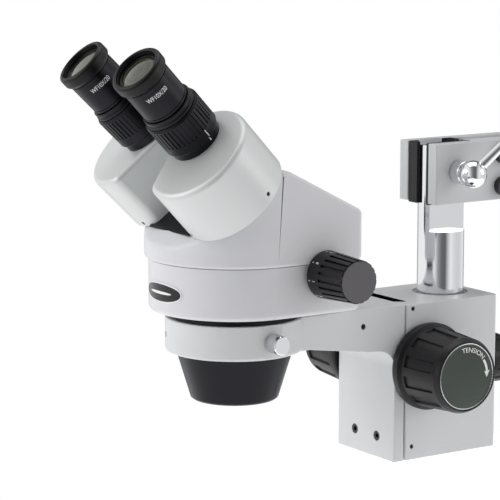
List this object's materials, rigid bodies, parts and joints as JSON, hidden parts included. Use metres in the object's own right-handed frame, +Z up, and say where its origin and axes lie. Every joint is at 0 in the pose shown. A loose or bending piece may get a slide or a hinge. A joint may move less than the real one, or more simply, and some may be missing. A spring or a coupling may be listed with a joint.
{
  "type": "stereo microscope",
  "caption": "Stereo zoom microscope head with two angled eyepieces in a holder ring on a rack focusing block, which hangs on a post from a boom clamp.",
  "frame": {"origin": "centre of the boom socket's mouth, at the back of the boom clamp", "axes": "+Z up, +Y away from the user along the boom socket's bore, +X the user's right"},
  "size_m": [0.1886, 0.3976, 0.2901],
  "materials": {
    "satin_plate": "satin",
    "black_plastic": "satin",
    "chrome": "polished",
    "black_steel": "satin",
    "grey_paint": "satin",
    "white_paint": "satin",
    "box_paint": "satin",
    "brass": "machined",
    "steel": "ground",
    "cap_gloss": "gloss",
    "aluminium": "machined",
    "black_anodised": "satin anodised",
    "glass": "coated",
    "badge_gloss": "gloss"
  },
  "bodies": {
    "boom_clamp": {"clamp_plate_right": "satin_plate", "clamp_plate_left": "satin_plate", "post_liner_right": "black_plastic", "post_liner_left": "black_plastic", "post": "chrome", "boom_socket": "satin_plate", "plate_bolts": "black_steel"},
    "boom_lock": {"boom_lock_screw": "black_plastic"},
    "clamp_lever": {"clamp_lever": "chrome", "lever_knob": "black_plastic"},
    "post_bush": {"post_bush": "black_plastic"},
    "focus_block": {"focus_block": "grey_paint", "gib_screws": "black_steel", "pinion_bearings": "brass"},
    "block_lock": {"block_lock_knob": "black_plastic"},
    "pinion": {"pinion_shaft": "steel", "focus_knob_right": "black_plastic", "knob_cap_right": "cap_gloss"},
    "tension_knob": {"focus_knob_left": "black_plastic", "knob_cap_left": "cap_gloss"},
    "carriage": {"holder_arm": "grey_paint", "focus_slide": "aluminium", "focus_rack": "brass", "slide_screws": "black_steel", "set_screws": "black_steel"},
    "thumb_screw": {"thumb_screw": "chrome"},
    "head": {"lens_barrel": "black_anodised", "objective_shroud": "black_anodised", "objective_cell": "black_anodised", "objective_lenses": "glass", "seat_plate": "black_anodised", "upper_housing": "white_paint", "badge": "badge_gloss", "lower_housing": "white_paint", "guide_rods": "steel"},
    "zoom_drive": {"zoom_shaft": "steel", "zoom_knob_right": "black_plastic", "zoom_knob_left": "black_plastic"},
    "lower_zoom": {"lower_lens_carriage": "aluminium", "lower_zoom_lenses": "glass"},
    "upper_zoom": {"upper_lens_carriage": "aluminium", "upper_zoom_lenses": "glass"},
    "prism_right": {"prism_box_right": "box_paint", "box_screw_right": "black_steel", "prism_base_right": "aluminium", "prism_right": "glass", "eye_tube_right": "black_anodised"},
    "diopter_sleeve_right": {"diopter_sleeve_right": "black_anodised"},
    "diopter_ring_right": {"diopter_ring_right": "black_anodised"},
    "eyepiece_right": {"eyepiece_right": "black_anodised", "eye_lens_right": "glass"},
    "prism_left": {"prism_box_left": "box_paint", "box_screw_left": "black_steel", "prism_base_left": "aluminium", "prism_left": "glass", "eye_tube_left": "black_anodised"},
    "diopter_sleeve_left": {"diopter_sleeve_left": "black_anodised"},
    "diopter_ring_left": {"diopter_ring_left": "black_anodised"},
    "eyepiece_left": {"eyepiece_left": "black_anodised", "eye_lens_left": "glass"}
  },
  "joints": [
    {"name": "boom_lock_turn", "type": "hinge", "parent": "boom_clamp", "child": "boom_lock", "pos_m": [0, -0.022, 0], "axis": [0, 0, 1], "range_deg": [-180, 180]},
    {"name": "clamp_lever_turn", "type": "hinge", "parent": "boom_clamp", "child": "clamp_lever", "pos_m": [0.034, -0.1236, 0.001], "axis": [1, 0, 0], "range_deg": [-90, 60]},
    {"name": "post_slide", "type": "slide", "parent": "boom_clamp", "child": "post_bush", "axis": [0, 0, 1], "range_m": [0, 0.045]},
    {"name": "block_swivel", "type": "hinge", "parent": "post_bush", "child": "focus_block", "pos_m": [0, -0.1236, -0.0825], "axis": [0, 0, 1], "range_deg": [-90, 90]},
    {"name": "block_lock_turn", "type": "hinge", "parent": "focus_block", "child": "block_lock", "pos_m": [0, -0.099, -0.1355], "axis": [0, 1, 0], "range_deg": [-180, 180]},
    {"name": "focus_travel", "type": "slide", "parent": "focus_block", "child": "carriage", "axis": [0, 0, 1], "range_m": [-0.025, 0.025]},
    {"name": "pinion_turn", "type": "hinge", "parent": "focus_block", "child": "pinion", "pos_m": [0, -0.1602, -0.1255], "axis": [1, 0, 0], "range_deg": [-195, 195]},
    {"name": "tension_turn", "type": "hinge", "parent": "pinion", "child": "tension_knob", "pos_m": [0, -0.1602, -0.1255], "axis": [1, 0, 0], "range_deg": [-30, 30]},
    {"name": "thumb_screw_turn", "type": "hinge", "parent": "carriage", "child": "thumb_screw", "pos_m": [0.05, -0.292, -0.0938], "axis": [1, 0, 0], "range_deg": [-180, 180]},
    {"name": "head_swivel", "type": "hinge", "parent": "carriage", "child": "head", "pos_m": [0, -0.292, -0.0825], "axis": [0, 0, 1], "continuous": true},
    {"name": "zoom_turn", "type": "hinge", "parent": "head", "child": "zoom_drive", "pos_m": [0, -0.2606, -0.0506], "axis": [1, 0, 0], "range_deg": [-110, 110]},
    {"name": "lower_zoom_travel", "type": "slide", "parent": "head", "child": "lower_zoom", "axis": [0, 0, 1], "range_m": [-0.0078, 0.0078]},
    {"name": "upper_zoom_travel", "type": "slide", "parent": "head", "child": "upper_zoom", "axis": [0, 0, 1], "range_m": [-0.0078, 0.0078]},
    {"name": "eye_spacing_right", "type": "hinge", "parent": "head", "child": "prism_right", "pos_m": [0.03611, -0.3307, 0.0163], "axis": [0.0872, -0.7044, 0.7044], "range_deg": [-20, 7]},
    {"name": "diopter_travel_right", "type": "slide", "parent": "prism_right", "child": "diopter_sleeve_right", "axis": [0.0872, -0.7044, 0.7044], "range_m": [-0.00255, 0.00255]},
    {"name": "diopter_turn_right", "type": "hinge", "parent": "diopter_sleeve_right", "child": "diopter_ring_right", "pos_m": [0.02956, -0.34596, 0.04443], "axis": [0.0872, -0.7044, 0.7044], "range_deg": [-150, 150]},
    {"name": "eyepiece_pull_right", "type": "slide", "parent": "diopter_sleeve_right", "child": "eyepiece_right", "axis": [0.0872, -0.7044, 0.7044], "range_m": [0, 0.02]},
    {"name": "eye_spacing_left", "type": "hinge", "parent": "head", "child": "prism_left", "pos_m": [-0.03611, -0.3307, 0.0163], "axis": [-0.0872, -0.7044, 0.7044], "range_deg": [-7, 20]},
    {"name": "diopter_travel_left", "type": "slide", "parent": "prism_left", "child": "diopter_sleeve_left", "axis": [-0.0872, -0.7044, 0.7044], "range_m": [-0.00255, 0.00255]},
    {"name": "diopter_turn_left", "type": "hinge", "parent": "diopter_sleeve_left", "child": "diopter_ring_left", "pos_m": [-0.02956, -0.34596, 0.04443], "axis": [-0.0872, -0.7044, 0.7044], "range_deg": [-150, 150]},
    {"name": "eyepiece_pull_left", "type": "slide", "parent": "diopter_sleeve_left", "child": "eyepiece_left", "axis": [-0.0872, -0.7044, 0.7044], "range_m": [0, 0.02]}
  ],
  "couplings": [
    {"joint": "pinion_turn", "follows": "focus_travel", "rad_per_m": -133.33},
    {"joint": "lower_zoom_travel", "follows": "zoom_turn", "m_per_rad": -0.004},
    {"joint": "upper_zoom_travel", "follows": "zoom_turn", "m_per_rad": 0.004},
    {"joint": "eye_spacing_left", "follows": "eye_spacing_right", "ratio": -1},
    {"joint": "diopter_travel_right", "follows": "diopter_turn_right", "m_per_rad": 0.00095493},
    {"joint": "diopter_travel_left", "follows": "diopter_turn_left", "m_per_rad": 0.00095493}
  ]
}
